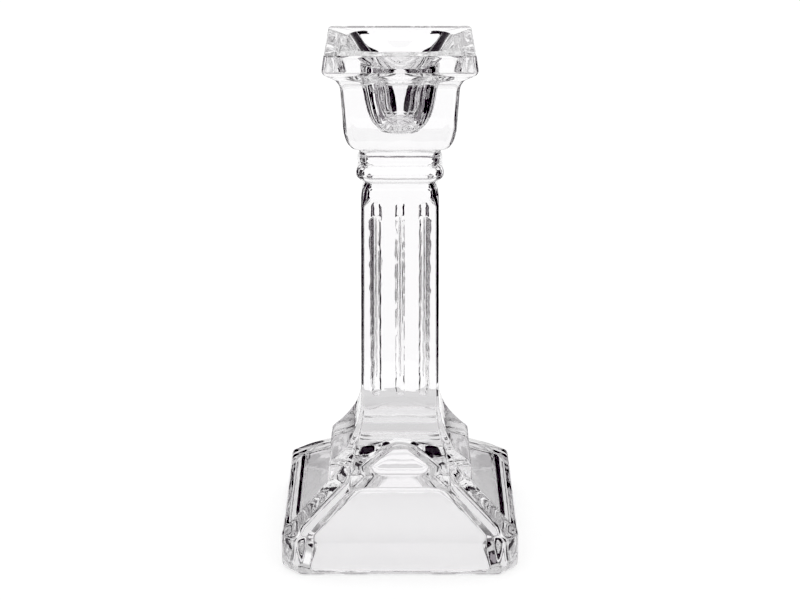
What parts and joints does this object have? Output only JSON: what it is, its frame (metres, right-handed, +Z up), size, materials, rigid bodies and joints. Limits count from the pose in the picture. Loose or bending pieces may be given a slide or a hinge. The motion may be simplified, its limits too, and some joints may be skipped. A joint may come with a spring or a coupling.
{
  "type": "glass candlestick",
  "caption": "Square pressed-glass candlestick with a flat-rimmed drip pan, fluted column and hollow stepped foot, for one taper candle.",
  "frame": {"origin": "centre of the flat rim that the foot stands on", "axes": "+Z up the column's axis, +X and +Y square to two of the four like faces"},
  "size_m": [0.0706, 0.0706, 0.1534],
  "materials": {
    "clear_glass": "clear, fire-polished pressed glass with very faint waves"
  },
  "bodies": {
    "root": {"drip_pan": "clear_glass", "candle_cup": "clear_glass", "collar": "clear_glass", "fluted_column": "clear_glass", "hollow_foot": "clear_glass"}
  },
  "joints": []
}
